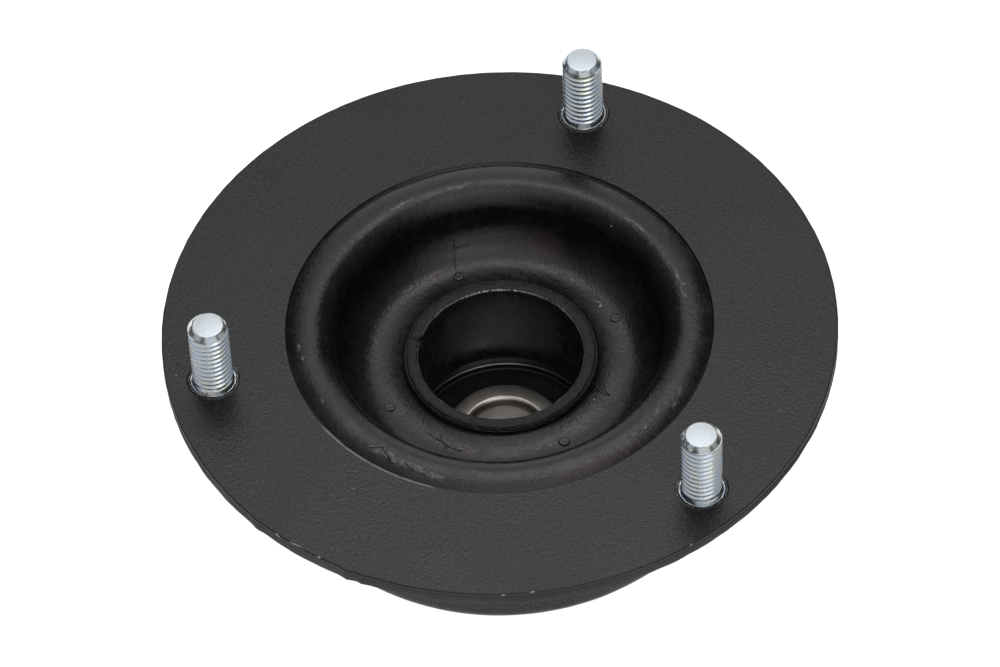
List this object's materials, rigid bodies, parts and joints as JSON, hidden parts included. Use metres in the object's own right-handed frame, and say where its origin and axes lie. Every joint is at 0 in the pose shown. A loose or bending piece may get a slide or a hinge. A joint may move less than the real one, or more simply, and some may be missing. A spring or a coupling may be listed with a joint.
{
  "type": "strut mount",
  "caption": "Round suspension strut mount: studded steel plate, moulded rubber element and central housing with a sealed ball bearing that carries the strut rod.",
  "frame": {"origin": "centre of the stud circle on the plate's top face, which seats against the vehicle's body", "axes": "+Z along the studs and the bearing's axis, away from the strut; +Y towards one stud"},
  "size_m": [0.13, 0.13, 0.0659],
  "materials": {
    "black_paint": "satin black paint with a fine grain",
    "zinc_plate": "bright zinc plating",
    "black_rubber": "moulded, half gloss",
    "coated_steel": "dark coating, bare at the trimmed edge",
    "ground_steel": "ground steel",
    "seal_rubber": "matte",
    "polished_steel": "polished"
  },
  "bodies": {
    "mount_body": {"top_plate": "black_paint", "studs": "zinc_plate", "lower_cup": "black_paint", "rubber_element": "black_rubber", "bearing_housing": "coated_steel", "bearing_outer_ring": "ground_steel", "upper_seal": "seal_rubber", "upper_seal_core": "ground_steel", "lower_seal": "seal_rubber", "lower_seal_core": "ground_steel"},
    "inner_ring": {"bearing_inner_ring": "ground_steel"},
    "cage": {"cage_upper": "ground_steel", "cage_lower": "ground_steel", "cage_rivets": "ground_steel"},
    "ball_body_1": {"ball_1": "polished_steel"},
    "ball_body_2": {"ball_2": "polished_steel"},
    "ball_body_3": {"ball_3": "polished_steel"},
    "ball_body_4": {"ball_4": "polished_steel"},
    "ball_body_5": {"ball_5": "polished_steel"},
    "ball_body_6": {"ball_6": "polished_steel"},
    "ball_body_7": {"ball_7": "polished_steel"}
  },
  "joints": [
    {"name": "inner_ring_spin", "type": "hinge", "parent": "mount_body", "child": "inner_ring", "pos_m": [0, 0, -0.041], "axis": [0, 0, 1], "continuous": true},
    {"name": "cage_spin", "type": "hinge", "parent": "mount_body", "child": "cage", "pos_m": [0, 0, -0.041], "axis": [0, 0, 1], "continuous": true},
    {"name": "ball_1_spin", "type": "hinge", "parent": "cage", "child": "ball_body_1", "pos_m": [0.0142, 0, -0.041], "axis": [0, 0, 1], "continuous": true},
    {"name": "ball_2_spin", "type": "hinge", "parent": "cage", "child": "ball_body_2", "pos_m": [0.00885, 0.0111, -0.041], "axis": [0, 0, 1], "continuous": true},
    {"name": "ball_3_spin", "type": "hinge", "parent": "cage", "child": "ball_body_3", "pos_m": [-0.00316, 0.01384, -0.041], "axis": [0, 0, 1], "continuous": true},
    {"name": "ball_4_spin", "type": "hinge", "parent": "cage", "child": "ball_body_4", "pos_m": [-0.01279, 0.00616, -0.041], "axis": [0, 0, 1], "continuous": true},
    {"name": "ball_5_spin", "type": "hinge", "parent": "cage", "child": "ball_body_5", "pos_m": [-0.01279, -0.00616, -0.041], "axis": [0, 0, 1], "continuous": true},
    {"name": "ball_6_spin", "type": "hinge", "parent": "cage", "child": "ball_body_6", "pos_m": [-0.00316, -0.01384, -0.041], "axis": [0, 0, 1], "continuous": true},
    {"name": "ball_7_spin", "type": "hinge", "parent": "cage", "child": "ball_body_7", "pos_m": [0.00885, -0.0111, -0.041], "axis": [0, 0, 1], "continuous": true}
  ],
  "couplings": [
    {"joint": "cage_spin", "follows": "inner_ring_spin", "ratio": 0.36021},
    {"joint": "ball_1_spin", "follows": "inner_ring_spin", "ratio": -1.6486},
    {"joint": "ball_2_spin", "follows": "inner_ring_spin", "ratio": -1.6486},
    {"joint": "ball_3_spin", "follows": "inner_ring_spin", "ratio": -1.6486},
    {"joint": "ball_4_spin", "follows": "inner_ring_spin", "ratio": -1.6486},
    {"joint": "ball_5_spin", "follows": "inner_ring_spin", "ratio": -1.6486},
    {"joint": "ball_6_spin", "follows": "inner_ring_spin", "ratio": -1.6486},
    {"joint": "ball_7_spin", "follows": "inner_ring_spin", "ratio": -1.6486}
  ]
}
